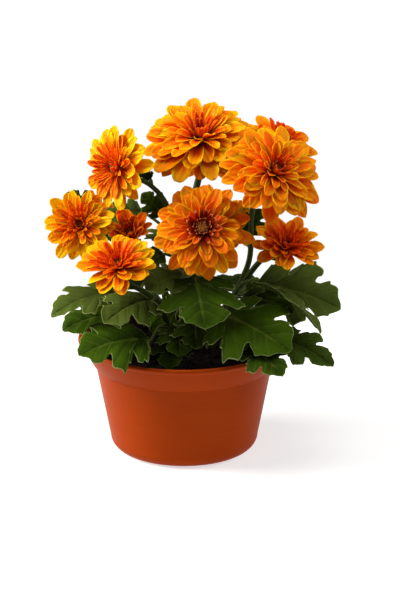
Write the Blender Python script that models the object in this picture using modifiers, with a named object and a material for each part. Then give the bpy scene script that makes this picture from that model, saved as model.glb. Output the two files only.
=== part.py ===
"""Pot chrysanthemum: four leafy shoots with twelve blooms, rooted in potting mix in a low plastic pot.

Metres, +Z up. The origin is the centre of the pot's foot, on the surface that it stands on.
The side that is seen first faces -Y.
"""

import math
import random

import bmesh
import bpy
from mathutils import Matrix, Vector

UP = Vector((0, 0, 1))

# Driving dimensions
RIM_RADIUS = 0.0760
RIM_HEIGHT = 0.0826
BAND_HEIGHT = 0.0630
WALL_RADIUS_LOW = 0.0533
WALL_RADIUS_HIGH = 0.0636
WALL = 0.0018
FLOOR_RADIUS = 0.0425
FOOT_RADIUS = 0.0385
HUB_RADIUS = 0.0220
FOOT_RISE = 0.0012
CORNER = 0.0095
POT_SIDES = 32
SOIL_SIDES = 16
HOLE_SIDES = 10
DRAIN_RADIUS = 0.0045
DRAIN_CIRCLE = 0.0300
DRAIN_COUNT = 4

GAP = 0.0003
SOIL_EDGE = 0.0690
SOIL_CROWN = 0.0045
SOIL_LUMP = 0.0012
HOLE_DEPTH = 0.0260

SHOOT_RADIUS = 0.0027
BRANCH_RADIUS = 0.0020
NECK_RADIUS = 0.0015
STALK_WIDTH = 0.0026
STALK_RISE = 0.0030
BLADE_THICKNESS = 0.0009
LEAF_RAISE = 0.30
LEAF_DROOP = 0.75
PETAL_THICKNESS = 0.0015
PETAL_CUP = 0.16
# Shares of a petal's length and of its half width at each ring of its blade, from its root to its tip
PETAL_RINGS = ((0.00, 0.0), (0.46, 0.90), (0.90, 0.78), (1.00, 0.0))

# Colours read from the photograph, as linear values
PETAL_COLOUR = (0.86, 0.27, 0.005, 1.0)
EYE_COLOUR = (0.16, 0.012, 0.006, 1.0)
GREEN_COLOUR = (0.035, 0.075, 0.008, 1.0)
POT_COLOUR = (0.42, 0.075, 0.018, 1.0)
SOIL_COLOUR = (0.018, 0.012, 0.008, 1.0)

# Whorls of a bloom, from the outermost in, as shares of the bloom's radius:
# (petals, length, width, root radius, root height, rise in degrees, bend in degrees)
WHORLS = {
    "full": (
        (12, 0.92, 0.34, 0.10, 0.05, -2, -20),
        (10, 0.78, 0.31, 0.10, 0.11, 15, -28),
        (6, 0.54, 0.29, 0.10, 0.16, 42, -32),
    ),
    "half": (
        (10, 0.90, 0.36, 0.11, 0.04, 4, -14),
        (7, 0.68, 0.33, 0.11, 0.09, 26, -16),
        (4, 0.44, 0.28, 0.11, 0.11, 52, -6),
    ),
    "young": (
        (8, 0.86, 0.44, 0.13, 0.05, 32, 14),
        (5, 0.62, 0.36, 0.13, 0.09, 54, 12),
    ),
}
EYE_BUDS = 4
RECEPTACLE_SIDES = 8
EYE_SIDES = 6
BUD_SIDES = 4
# The receptacle that the petals stand on, as shares of the bloom's radius: (base, top, height, eye height)
RECEPTACLE = {
    "full": (0.21, 0.120, 0.27, 0.09),
    "half": (0.22, 0.130, 0.20, 0.11),
    "young": (0.26, 0.150, 0.22, 0.14),
}

# name: (form, radius, receptacle's foot, azimuth and elevation that it faces, opening added to each rise)
BLOOMS = {
    "top": ("full", 0.0430, (0.0122, 0.0270, 0.2172), -5, 65, 0),
    "centre": ("full", 0.0345, (0.0134, -0.0340, 0.1698), -2, 35, 0),
    "right_high": ("full", 0.0378, (0.0612, -0.0200, 0.2070), 30, 42, 0),
    "left_high": ("full", 0.0306, (-0.0446, -0.0030, 0.2077), -48, 12, 2),
    "left": ("half", 0.0264, (-0.0726, -0.0050, 0.1658), -8, 28, 12),
    "left_young": ("young", 0.0205, (-0.0385, 0.0080, 0.1552), -5, 48, 0),
    "left_low": ("half", 0.0281, (-0.0444, -0.0460, 0.1465), -16, 60, 10),
    "right_low": ("half", 0.0260, (0.0714, -0.0140, 0.1510), 24, 56, 12),
    "right_back": ("half", 0.0310, (0.0675, 0.0560, 0.2050), 40, 52, -4),
    "back_high": ("half", 0.0300, (0.0130, 0.0690, 0.1990), 176, 32, 0),
    "back_low": ("half", 0.0270, (0.0310, 0.0740, 0.1440), 160, 30, 0),
    "back_left": ("half", 0.0270, (-0.0600, 0.0540, 0.1450), 235, 32, 0),
}

# shoot: (main stem's route from the soil up, {bloom: its stem's route, from where it forks})
SHOOTS = {
    "shoot_centre": (
        ((0.003, -0.006, 0.088), (0.002, -0.006, 0.118), (0.001, -0.002, 0.148)),
        {
            "top": ((0.001, -0.002, 0.146), (0.005, 0.008, 0.171), (0.011, 0.019, 0.194)),
            "centre": ((0.002, -0.005, 0.128), (0.009, -0.014, 0.151)),
            "left_high": (
                (0.001, -0.002, 0.144),
                (-0.012, 0.008, 0.177),
                (-0.0225, 0.008, 0.191),
                (-0.034, 0.005, 0.199),
            ),
        },
    ),
    "shoot_left": (
        ((-0.012, -0.003, 0.088), (-0.015, -0.007, 0.102), (-0.0175, -0.012, 0.112)),
        {
            "left_low": ((-0.0170, -0.011, 0.110), (-0.028, -0.020, 0.122), (-0.040, -0.033, 0.132)),
            "left_young": ((-0.0150, -0.007, 0.102), (-0.026, 0.004, 0.124), (-0.035, 0.011, 0.141)),
            "left": ((-0.0265, 0.004, 0.125), (-0.047, 0.007, 0.143), (-0.064, 0.006, 0.155)),
        },
    ),
    "shoot_right": (
        ((0.019, 0.000, 0.088), (0.029, -0.001, 0.104), (0.040, -0.001, 0.119)),
        {
            "right_low": ((0.039, -0.001, 0.118), (0.0557, -0.006, 0.1415)),
            "right_high": (
                (0.035, -0.001, 0.112),
                (0.0465, 0.004, 0.138),
                (0.048, 0.004, 0.172),
                (0.0525, -0.003, 0.192),
            ),
            "right_back": ((0.048, 0.0038, 0.170), (0.051, 0.024, 0.183), (0.055, 0.046, 0.193)),
        },
    ),
    "shoot_back": (
        ((-0.001, 0.015, 0.088), (-0.002, 0.022, 0.106), (-0.003, 0.028, 0.124)),
        {
            "back_high": ((-0.003, 0.028, 0.122), (0.0035, 0.036, 0.150), (0.0075, 0.046, 0.177)),
            "back_low": ((-0.002, 0.024, 0.112), (0.010, 0.044, 0.128)),
            "back_left": ((-0.002, 0.024, 0.114), (-0.026, 0.034, 0.126)),
        },
    ),
}

# Half of a leaf's outline, as shares of its length: (along, across, where its vein leaves the rib)
LEAF_OUTLINE = (
    (0.00, 0.030, 0.00),
    (0.22, 0.110, 0.05),
    (0.36, 0.390, 0.12),
    (0.50, 0.460, 0.20),
    (0.55, 0.210, 0.34),
    (0.72, 0.370, 0.43),
    (0.83, 0.280, 0.52),
    (0.84, 0.130, 0.66),
    (1.00, 0.000, 0.92),
)

# shoot: ((point on the stem, blade's base, tip, arch, roll in degrees, width share), ...)
LEAVES = {
    "shoot_centre": (
        ((0.003, -0.006, 0.120), (0.0070, -0.034, 0.1390), (0.0138, -0.074, 0.1120), 0.004, 0, 1.50),
        ((0.002, -0.006, 0.116), (0.0010, -0.030, 0.1370), (-0.0270, -0.052, 0.1340), 0.003, -25, 1.20),
        ((0.003, -0.006, 0.092), (0.0080, -0.026, 0.1040), (0.0076, -0.055, 0.0910), 0.003, 0, 1.30),
        ((0.003, -0.006, 0.090), (-0.0040, -0.032, 0.0940), (-0.0100, -0.060, 0.0780), 0.003, 0, 1.10),
        ((0.003, -0.006, 0.095), (-0.0054, -0.026, 0.0990), (-0.0018, -0.058, 0.0870), 0.002, 0, 1.15),
        ((0.001, -0.003, 0.146), (-0.0290, 0.023, 0.1680), (-0.0600, 0.030, 0.1600), 0.003, -45, 1.10),
        ((0.002, -0.004, 0.132), (-0.0130, -0.002, 0.1440), (-0.0320, -0.008, 0.1350), 0.003, -40, 1.20),
        ((-0.004, 0.002, 0.158), (-0.0145, 0.018, 0.1665), (-0.0300, 0.022, 0.1820), 0.002, -50, 1.10),
        ((-0.0225, 0.008, 0.190), (-0.0240, 0.013, 0.1940), (-0.0320, 0.016, 0.2050), 0.002, -60, 1.0),
    ),
    "shoot_left": (
        ((-0.0175, -0.012, 0.111), (-0.0440, -0.012, 0.1180), (-0.0930, -0.036, 0.1100), 0.005, -8, 1.0),
        ((-0.0175, -0.012, 0.111), (-0.0215, -0.031, 0.1190), (-0.0545, -0.062, 0.1120), 0.005, -15, 1.15),
        ((-0.0130, -0.005, 0.093), (-0.0225, -0.0495, 0.0960), (-0.0720, -0.068, 0.0905), 0.005, -17, 1.38),
        ((-0.0140, -0.006, 0.098), (-0.0400, 0.002, 0.0980), (-0.0860, -0.014, 0.0920), 0.004, -20, 1.10),
        ((-0.0440, 0.006, 0.141), (-0.0640, 0.021, 0.1630), (-0.0850, 0.029, 0.1800), 0.003, -45, 1.10),
    ),
    "shoot_right": (
        ((0.040, -0.001, 0.119), (0.0500, 0.006, 0.1200), (0.1106, -0.006, 0.1035), 0.006, 38, 1.0),
        ((0.036, -0.001, 0.113), (0.0460, -0.017, 0.1290), (0.0960, -0.048, 0.1010), 0.006, -22, 0.55),
        ((0.030, -0.001, 0.105), (0.0400, -0.012, 0.1150), (0.0770, -0.026, 0.1080), 0.004, 25, 0.95),
        ((0.022, 0.000, 0.093), (0.0225, -0.028, 0.1090), (0.0710, -0.070, 0.0930), 0.006, 25, 1.12),
        ((0.021, 0.000, 0.091), (0.0600, -0.024, 0.0900), (0.1040, -0.046, 0.0745), 0.005, 20, 0.85),
        ((0.021, 0.000, 0.090), (0.0440, -0.052, 0.0920), (0.0680, -0.083, 0.0810), 0.003, 15, 0.95),
        ((0.0475, 0.004, 0.142), (0.0435, 0.010, 0.1540), (0.0550, 0.014, 0.1730), 0.002, 50, 1.0),
    ),
    "shoot_back": (
        ((-0.002, 0.020, 0.100), (0.0400, 0.022, 0.1060), (0.0960, 0.040, 0.1000), 0.006, 0, 1.1),
        ((-0.002, 0.020, 0.100), (0.0260, 0.042, 0.1020), (0.0740, 0.078, 0.0900), 0.006, 5, 1.15),
        ((-0.002, 0.021, 0.104), (0.0120, 0.052, 0.1020), (0.0300, 0.106, 0.0880), 0.006, 0, 1.15),
        ((-0.002, 0.021, 0.104), (-0.0110, 0.054, 0.1040), (-0.0220, 0.110, 0.0900), 0.006, 0, 1.15),
        ((-0.002, 0.020, 0.100), (-0.0300, 0.046, 0.1020), (-0.0680, 0.084, 0.0900), 0.006, -5, 1.15),
        ((-0.002, 0.019, 0.098), (-0.0400, 0.028, 0.1000), (-0.0880, 0.044, 0.0960), 0.005, 0, 1.1),
        ((-0.003, 0.028, 0.122), (-0.0120, 0.060, 0.1300), (-0.0160, 0.104, 0.1260), 0.008, 0, 1.1),
        ((-0.001, 0.018, 0.094), (-0.0030, 0.020, 0.0960), (-0.0370, 0.018, 0.0920), 0.002, -62, 1.10),
    ),
}


def clear_scene():
    for obj in list(bpy.data.objects):
        bpy.data.objects.remove(obj, do_unlink=True)


def finish(name, colour, roughness):
    """One plain Principled finish."""
    material = bpy.data.materials.new(name)
    material.use_nodes = True
    shader = material.node_tree.nodes["Principled BSDF"]
    shader.inputs["Base Color"].default_value = colour
    shader.inputs["Roughness"].default_value = roughness
    material.diffuse_color = colour
    return material


def new_collection(name):
    collection = bpy.data.collections.new(name)
    bpy.context.scene.collection.children.link(collection)
    return collection


def add_object(name, data, collection):
    obj = bpy.data.objects.new(name, data)
    collection.objects.link(obj)
    return obj


def mesh_from(bm, name):
    mesh = bpy.data.meshes.new(name)
    bm.to_mesh(mesh)
    bm.free()
    return mesh


def evaluated_mesh(obj, name):
    """The object's mesh with its modifiers applied, or a curve's mesh with its caps welded."""
    graph = bpy.context.evaluated_depsgraph_get()
    mesh = bpy.data.meshes.new_from_object(obj.evaluated_get(graph))
    mesh.name = name
    if obj.type == "CURVE":
        bm = bmesh.new()
        bm.from_mesh(mesh)
        bmesh.ops.remove_doubles(bm, verts=bm.verts, dist=1e-5)
        bmesh.ops.recalc_face_normals(bm, faces=bm.faces)
        bm.to_mesh(mesh)
        bm.free()
    return mesh


def settle(obj):
    """Applies the object's modifiers, so that the object is a plain mesh."""
    bpy.context.view_layer.update()
    mesh = evaluated_mesh(obj, obj.name)
    obj.modifiers.clear()
    obj.data = mesh
    return obj


def keep_body(mesh):
    """Keeps the mesh's largest body: loose scrap goes, and a hollow that fusing sealed is filled."""
    bm = bmesh.new()
    bm.from_mesh(mesh)
    waiting = set(bm.verts)
    bodies = []
    while waiting:
        body = [waiting.pop()]
        for vertex in body:
            found = {edge.other_vert(vertex) for edge in vertex.link_edges} & waiting
            waiting -= found
            body.extend(found)
        bodies.append(body)
    bodies.sort(key=len)
    for body in bodies[:-1]:
        bmesh.ops.delete(bm, geom=body, context="VERTS")
    bm.to_mesh(mesh)
    bm.free()


def fuse(obj, pieces, operation="UNION", solver="EXACT"):
    """Joins every piece in the collection to obj, or cuts them from it, and removes the collection."""
    modifier = obj.modifiers.new("fuse", "BOOLEAN")
    modifier.operation = operation
    modifier.solver = solver
    modifier.operand_type = "COLLECTION"
    modifier.collection = pieces
    settle(obj)
    keep_body(obj.data)
    for piece in list(pieces.objects):
        bpy.data.objects.remove(piece, do_unlink=True)
    bpy.data.collections.remove(pieces)
    return obj


def turned(name, profile, sides, collection):
    """A solid of revolution about Z from (radius, height) points that run down the outer side."""
    mesh = bpy.data.meshes.new(name)
    points = [(radius, 0.0, height) for radius, height in profile]
    mesh.from_pydata(points, [(i, i + 1) for i in range(len(points) - 1)], [])
    obj = add_object(name, mesh, collection)
    screw = obj.modifiers.new("turn", "SCREW")
    screw.steps = screw.render_steps = sides
    screw.use_merge_vertices = True
    screw.merge_threshold = 1e-5
    return settle(obj)


def cylinder(name, radius, bottom, top, centre, sides, collection):
    bm = bmesh.new()
    middle = Matrix.Translation((centre[0], centre[1], (bottom + top) / 2))
    bmesh.ops.create_cone(
        bm, segments=sides, radius1=radius, radius2=radius, depth=top - bottom, cap_ends=True, matrix=middle
    )
    return add_object(name, mesh_from(bm, name), collection)


def wall_radius(height):
    """Outer radius of the pot's plain wall at a height."""
    share = (height - CORNER) / (BAND_HEIGHT - CORNER)
    return WALL_RADIUS_LOW + share * (WALL_RADIUS_HIGH - WALL_RADIUS_LOW)


def pot_profile():
    """From the middle of the floor up the inside, over the lip, down the outside and across the foot."""
    lean = (RIM_RADIUS - 0.0015 - WALL_RADIUS_HIGH) / (RIM_HEIGHT - BAND_HEIGHT)
    floor = FOOT_RISE + WALL
    inside = [
        (0.0, floor),
        (FLOOR_RADIUS - 0.0010, floor),
        (WALL_RADIUS_LOW - WALL - 0.0010, CORNER),
        (wall_radius(BAND_HEIGHT) - WALL, BAND_HEIGHT),
        (RIM_RADIUS - 0.0030 - WALL, RIM_HEIGHT - 0.0022),
        (RIM_RADIUS - 0.0030, RIM_HEIGHT - 0.0003),
    ]
    lip = [
        (RIM_RADIUS - 0.0014, RIM_HEIGHT),
        (RIM_RADIUS - 0.0003, RIM_HEIGHT - 0.0006),
        (RIM_RADIUS, RIM_HEIGHT - 0.0018),
        (RIM_RADIUS - 0.0016, RIM_HEIGHT - 0.0034),
    ]
    band_foot = WALL_RADIUS_HIGH + 0.0012
    outside = [
        (band_foot + lean * 0.0010, BAND_HEIGHT + 0.0010),
        (band_foot - 0.0004, BAND_HEIGHT),
        (wall_radius(BAND_HEIGHT - 0.0006), BAND_HEIGHT - 0.0006),
    ]
    bend_centre = WALL_RADIUS_LOW - CORNER
    for step in range(4):
        angle = math.radians(step * 30)
        outside.append((bend_centre + CORNER * math.cos(angle), CORNER - CORNER * math.sin(angle)))
    foot = [(FOOT_RADIUS, 0.0), (FOOT_RADIUS - FOOT_RISE, FOOT_RISE)]
    hub = [(HUB_RADIUS + FOOT_RISE, FOOT_RISE), (HUB_RADIUS, 0.0), (0.0, 0.0)]
    return inside + lip + outside + foot + hub


def make_pot(model):
    pot = turned("pot", pot_profile(), POT_SIDES, model)
    drains = new_collection("drains")
    for index in range(DRAIN_COUNT):
        angle = 2 * math.pi * (index + 0.5) / DRAIN_COUNT
        centre = (DRAIN_CIRCLE * math.cos(angle), DRAIN_CIRCLE * math.sin(angle))
        cylinder("drain", DRAIN_RADIUS, -WALL, FOOT_RISE + 2 * WALL, centre, HOLE_SIDES, drains)
    fuse(pot, drains, "DIFFERENCE")
    pot.data.materials.append(finish("pot plastic", POT_COLOUR, 0.45))
    return pot


def make_soil(model):
    """Potting mix that fills the pot to below its rim, crowned and lumpy, with a hole for each shoot."""
    low = FOOT_RISE + WALL + GAP
    clearance = WALL + 2 * GAP
    profile = [
        (0.0, SOIL_EDGE + SOIL_CROWN),
        (0.016, SOIL_EDGE + SOIL_CROWN * 0.92),
        (0.032, SOIL_EDGE + SOIL_CROWN * 0.68),
        (0.048, SOIL_EDGE + SOIL_CROWN * 0.30),
        (0.060, SOIL_EDGE),
        (wall_radius(BAND_HEIGHT) - clearance, SOIL_EDGE - 0.0030),
        (wall_radius(BAND_HEIGHT) - clearance, BAND_HEIGHT - 0.0005),
        (WALL_RADIUS_LOW - clearance - 0.0014, CORNER + 0.0004),
        (FLOOR_RADIUS - 0.0022, low),
        (0.0, low),
    ]
    soil = turned("soil", profile, SOIL_SIDES, model)
    draw = random.Random(11)
    for vertex in soil.data.vertices:
        if vertex.co.z > SOIL_EDGE - 0.001:
            vertex.co.z += draw.uniform(-SOIL_LUMP, SOIL_LUMP)
    holes = new_collection("stem_holes")
    for route, _ in SHOOTS.values():
        foot = stem_foot(route)
        cylinder("hole", SHOOT_RADIUS + 2 * GAP, foot.z - GAP, RIM_HEIGHT, foot[:2], HOLE_SIDES, holes)
    fuse(soil, holes, "DIFFERENCE")
    soil.data.materials.append(finish("potting mix", SOIL_COLOUR, 0.95))
    return soil


def stem_foot(route):
    """Where a shoot stands in its hole, below the first point of its route."""
    x, y, _ = route[0]
    return Vector((x, y, SOIL_EDGE + SOIL_CROWN - HOLE_DEPTH))


def smooth_route(points, steps):
    """Points along a Catmull-Rom curve through the given points, steps to each span."""
    ends = [2 * points[0] - points[1], *points, 2 * points[-1] - points[-2]]
    route = []
    for a, b, c, d in zip(ends, ends[1:], ends[2:], ends[3:]):
        for step in range(steps):
            t = step / steps
            bend = (2 * a - 5 * b + 4 * c - d) * t**2 + (3 * b - a - 3 * c + d) * t**3
            route.append(0.5 * (2 * b + (c - a) * t + bend))
    route.append(points[-1])
    return route


def stem(name, points, radii, steps, roundness, collection):
    """A round stem through the points, its radius running evenly from the first of radii to the second."""
    curve = bpy.data.curves.new(name, "CURVE")
    curve.dimensions = "3D"
    curve.bevel_depth = 1.0
    curve.bevel_resolution = roundness
    curve.use_fill_caps = True
    route = smooth_route([Vector(p) for p in points], steps)
    spline = curve.splines.new("POLY")
    spline.points.add(len(route) - 1)
    for index, (point, place) in enumerate(zip(spline.points, route)):
        share = index / (len(route) - 1)
        point.co = (*place, 1.0)
        point.radius = radii[0] + (radii[1] - radii[0]) * share
    drawn = add_object(name, curve, collection)
    bpy.context.view_layer.update()
    solid = add_object(name + "_solid", evaluated_mesh(drawn, name), collection)
    solid.matrix_world = drawn.matrix_world
    bpy.data.objects.remove(drawn, do_unlink=True)
    return solid


def bloom_frame(bloom):
    """The bloom's own frame: its foot at the origin, facing +Z, with +Y nearest to upward."""
    _, _, foot, azimuth, elevation, _ = bloom
    turn = Matrix.Rotation(math.radians(azimuth), 4, "Z")
    lean = Matrix.Rotation(math.radians(90 - elevation), 4, "X")
    return Matrix.Translation(foot) @ turn @ lean


def petal(whorl, radius, opening, azimuth, draw, collection):
    """One ray floret: a lens-shaped, cupped blade that rises from its root and bends along its length."""
    _, length, width, root_radius, root_height, rise, bend = whorl
    length *= radius * draw.uniform(0.95, 1.03)
    half_width = width * radius / 2
    rise = math.radians(rise + opening + draw.uniform(-3, 3))
    bend = math.radians(bend + draw.uniform(-4, 4))
    spin = Matrix.Rotation(azimuth + math.radians(draw.uniform(-3, 3)), 3, "Z")
    bm = bmesh.new()
    bmesh.ops.create_uvsphere(bm, u_segments=4, v_segments=len(PETAL_RINGS) - 1, radius=1.0)
    for vertex in bm.verts:
        ring = round((1 - math.acos(max(-1.0, min(1.0, vertex.co.z))) / math.pi) * (len(PETAL_RINGS) - 1))
        along, across = PETAL_RINGS[ring]
        girth = max(math.hypot(vertex.co.x, vertex.co.y), 1e-6)
        side = round(vertex.co.x / girth)
        face = round(vertex.co.y / girth)
        if across == 0.0:
            side = face = 0
        run = rise + bend * along / 2
        lift = face * PETAL_THICKNESS / 2 + abs(side) * PETAL_CUP * half_width * across
        slope = rise + bend * along
        out = root_radius * radius + length * along * math.cos(run) - lift * math.sin(slope)
        up = root_height * radius + length * along * math.sin(run) + lift * math.cos(slope)
        vertex.co = spin @ Vector((out, side * half_width * across, up))
    return add_object("petal", mesh_from(bm, "petal"), collection)


def make_petals(name, bloom, seed, model, material):
    """A bloom's ray florets, whorl by whorl, on their receptacle."""
    form, radius, _, _, _, opening = bloom
    base, top, height, _ = (share * radius for share in RECEPTACLE[form])
    bm = bmesh.new()
    middle = Matrix.Translation((0, 0, GAP + height / 2))
    bmesh.ops.create_cone(
        bm, segments=RECEPTACLE_SIDES, radius1=base, radius2=top, depth=height, cap_ends=True, matrix=middle
    )
    petals = add_object(name + "_petals", mesh_from(bm, name), model)
    draw = random.Random(seed)
    florets = new_collection("florets")
    turn = draw.uniform(0, math.tau)
    for whorl in WHORLS[form]:
        count = whorl[0]
        for index in range(count):
            petal(whorl, radius, opening, turn + math.tau * index / count, draw, florets)
        turn += math.pi / count
    fuse(petals, florets)
    petals.matrix_world = bloom_frame(bloom)
    petals.data.materials.append(material)
    return petals


def make_eye(name, bloom, model, material):
    """The eye: a low dome with a ring of short unopened florets that stand out of it."""
    form, radius, _, _, _, _ = bloom
    _, top, height, rise = (share * radius for share in RECEPTACLE[form])
    foot = height + 2 * GAP
    bm = bmesh.new()
    middle = Matrix.Translation((0, 0, foot + rise * 0.35))
    bmesh.ops.create_cone(
        bm,
        segments=EYE_SIDES,
        radius1=top * 0.80,
        radius2=top * 0.50,
        depth=rise * 0.7,
        cap_ends=True,
        matrix=middle,
    )
    eye = add_object(name + "_eye", mesh_from(bm, name), model)
    buds = new_collection("buds")
    for index in range(EYE_BUDS):
        place = (
            Matrix.Rotation(math.tau * index / EYE_BUDS, 4, "Z")
            @ Matrix.Translation((top * 0.42, 0, foot + rise * 0.25))
            @ Matrix.Rotation(math.radians(18), 4, "Y")
            @ Matrix.Translation((0, 0, rise * 0.5))
        )
        bm = bmesh.new()
        bmesh.ops.create_cone(
            bm,
            segments=BUD_SIDES,
            radius1=top * 0.24,
            radius2=top * 0.09,
            depth=rise,
            cap_ends=True,
            matrix=place,
        )
        add_object("bud", mesh_from(bm, "bud"), buds)
    fuse(eye, buds)
    eye.matrix_world = bloom_frame(bloom)
    eye.data.materials.append(material)
    return eye


def calyx(bloom, collection):
    """The green cup under a bloom. Its foot and the direction that the stem leaves it are returned."""
    form, radius, _, _, _, _ = bloom
    base = RECEPTACLE[form][0] * radius
    depth = base * 0.95
    bm = bmesh.new()
    middle = Matrix.Translation((0, 0, -depth / 2))
    bmesh.ops.create_cone(
        bm,
        segments=RECEPTACLE_SIDES,
        radius1=NECK_RADIUS * 1.5,
        radius2=base * 0.94,
        depth=depth,
        cap_ends=True,
        matrix=middle,
    )
    cup = add_object("calyx", mesh_from(bm, "calyx"), collection)
    frame = bloom_frame(bloom)
    cup.matrix_world = frame
    return frame @ Vector((0, 0, -depth * 0.5)), frame @ Vector((0, 0, -depth - 0.005))


def leaf_place(base, tip, arch, roll):
    """The function that places (along, across, lift), shares of a leaf's length, on the arched leaf."""
    length = (tip - base).length
    chord = (tip - base) / length
    across = Matrix.Rotation(math.radians(roll), 3, chord) @ chord.cross(UP).normalized()
    normal = across.cross(chord)

    def place(along, side, lift):
        bow = 4 * arch * along * (1 - along)
        return base + chord * along * length + across * side * length + normal * (bow + lift * length)

    return place


def leaf(stem_point, base, tip, arch, roll, width, collection):
    """A flat stalk that widens into a lobed blade, raised beside its rib and drooping to its lobes."""
    stem_point, base, tip = Vector(stem_point), Vector(base), Vector(tip)
    place = leaf_place(base, tip, arch, roll)
    stalk = (stem_point, (stem_point + base) / 2 + UP * STALK_RISE, base)
    rows = len(stalk) - 1 + len(LEAF_OUTLINE)
    bm = bmesh.new()
    bmesh.ops.create_grid(bm, x_segments=2, y_segments=rows - 1, size=1.0)
    for vertex in bm.verts:
        row = round((vertex.co.y + 1) / 2 * (rows - 1))
        side = round(vertex.co.x)
        if row < len(stalk) - 1:
            edge = (stalk[row + 1] - stalk[row]).cross(UP).normalized() * STALK_WIDTH / 2
            vertex.co = stalk[row] + edge * side
        else:
            along, across, rib = LEAF_OUTLINE[row - len(stalk) + 1]
            across *= width
            lift = abs(side) * (LEAF_RAISE * across - LEAF_DROOP * across**2)
            vertex.co = place(along if side else rib, side * across, lift)
    bmesh.ops.remove_doubles(bm, verts=bm.verts, dist=1e-5)
    bmesh.ops.triangulate(bm, faces=bm.faces)
    blade = add_object("blade", mesh_from(bm, "blade"), collection)
    solid = blade.modifiers.new("thickness", "SOLIDIFY")
    solid.thickness = BLADE_THICKNESS
    solid.offset = 0.0
    settle(blade)


def make_shoot(name, model, material):
    """A shoot: its main stem, its blooms' stems and calyxes and its leaves, fused into one green body."""
    route, branches = SHOOTS[name]
    foot = stem_foot(route)
    parts = new_collection(name + "_parts")
    main = stem("main", (foot, *route), (SHOOT_RADIUS, BRANCH_RADIUS), 1, 1, parts)
    shoot = add_object(name, main.data, model)
    bpy.data.objects.remove(main, do_unlink=True)
    for bloom_name, branch in branches.items():
        bloom = BLOOMS[bloom_name]
        end, before = calyx(bloom, parts)
        stem("branch", (*branch, before, end), (BRANCH_RADIUS, NECK_RADIUS), 1, 1, parts)
    for leaf_facts in LEAVES[name]:
        leaf(*leaf_facts, parts)
    # EXACT leaves the buried ends of the thin blades as scraps here
    fuse(shoot, parts, solver="MANIFOLD")
    shoot.data.materials.append(material)
    return shoot


def main():
    clear_scene()
    model = new_collection("pot_chrysanthemum")
    make_pot(model)
    make_soil(model)
    petal_finish = finish("ray florets", PETAL_COLOUR, 0.55)
    eye_finish = finish("disc florets", EYE_COLOUR, 0.7)
    green_finish = finish("leaves and stems", GREEN_COLOUR, 0.6)
    for name in SHOOTS:
        make_shoot(name, model, green_finish)
    for seed, (name, bloom) in enumerate(BLOOMS.items()):
        make_petals(name, bloom, seed, model, petal_finish)
        make_eye(name, bloom, model, eye_finish)
    for obj in model.objects:
        obj.data.shade_smooth()
        obj.data.set_sharp_from_angle(angle=math.radians(35))


main()
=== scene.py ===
"""Looks of the pot chrysanthemum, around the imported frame: blooms, leaves, stems, potting mix and pot.

Metres, +Z up, the side that is seen first facing -Y. Blooms, stems and leaves stand where part.py has them.
"""

import math
import random

import bmesh
import bpy
import numpy as np
from mathutils import Matrix, Vector


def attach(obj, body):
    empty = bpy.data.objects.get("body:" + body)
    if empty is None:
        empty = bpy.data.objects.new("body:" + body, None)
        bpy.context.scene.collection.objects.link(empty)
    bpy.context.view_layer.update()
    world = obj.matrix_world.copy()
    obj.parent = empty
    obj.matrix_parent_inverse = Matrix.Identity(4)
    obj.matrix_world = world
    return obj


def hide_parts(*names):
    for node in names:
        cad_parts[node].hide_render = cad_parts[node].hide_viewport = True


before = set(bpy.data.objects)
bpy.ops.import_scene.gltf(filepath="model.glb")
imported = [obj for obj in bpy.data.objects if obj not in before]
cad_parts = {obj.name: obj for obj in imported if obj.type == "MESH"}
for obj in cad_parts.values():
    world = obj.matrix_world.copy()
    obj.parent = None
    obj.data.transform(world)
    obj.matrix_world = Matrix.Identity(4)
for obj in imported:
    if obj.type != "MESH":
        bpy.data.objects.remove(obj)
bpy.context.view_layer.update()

UP = np.array([0.0, 0.0, 1.0])

# Sizes that are the same in part.py
RIM_RADIUS = 0.0760
RIM_HEIGHT = 0.0826
BAND_HEIGHT = 0.0630
WALL_RADIUS_LOW = 0.0533
WALL_RADIUS_HIGH = 0.0636
WALL = 0.0018
FLOOR_RADIUS = 0.0425
FOOT_RADIUS = 0.0385
HUB_RADIUS = 0.0220
FOOT_RISE = 0.0012
CORNER = 0.0095
DRAIN_RADIUS = 0.0045
DRAIN_CIRCLE = 0.0300
DRAIN_COUNT = 4
GAP = 0.0003
SOIL_EDGE = 0.0690
SOIL_CROWN = 0.0045
HOLE_DEPTH = 0.0260
SHOOT_RADIUS = 0.0027
BRANCH_RADIUS = 0.0020
NECK_RADIUS = 0.0015
STALK_RISE = 0.0030
LEAF_RAISE = 0.30
LEAF_DROOP = 0.75

# Other sizes of the looks, in metres where nothing else is said
LIP_RADIUS = 0.0016
CROWN_RADIUS = 0.0620
LUMP_HEIGHT = 0.0014
LUMP_SHIFT = 0.0008
CRUMBS = 1500
CRUMB_LEAST = 0.0004
CRUMB_SPREAD = 0.0014
STALK_RADII = (0.00125, 0.00085)
RIB_DEPTH = 0.07  # share of a stem's radius
OFF_STEM = (0.31, 0.95, 0.05)  # a direction that no stem follows
FLORET_WIDEST = 0.68  # share of a floret's length
FLORET_THICKNESS = 0.00055
FLORET_THINNING = 0.00025
LEAF_THICKNESS = 0.0007
LEAF_THINNING = 0.0004
RIB_THICKENING = 0.0004
GOLDEN_ANGLE = 2.39996  # radians from one floret of an eye to the next
RIPPLE_PHASES = 6.28  # radians
FLOOR_REACH = 0.36

# How finely each piece is made
POT_SIDES = 160
SOIL_SIDES = 96
SOIL_RINGS = 26
DRILL_SIDES = 24
RECEPTACLE_SIDES = 24
EYE_SIDES = 20
BUD_SIDES = 7
FLOOR_SIDES = 96
FLORET_GRID = (13, 9)
QUILL_GRID = (8, 5)
LEAF_ROWS = 150
LEAF_SPAN_STEPS = 16
LEAF_COLUMNS = (0.0, 0.10, 0.24, 0.40, 0.56, 0.72, 0.86, 0.95, 1.0)

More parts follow.
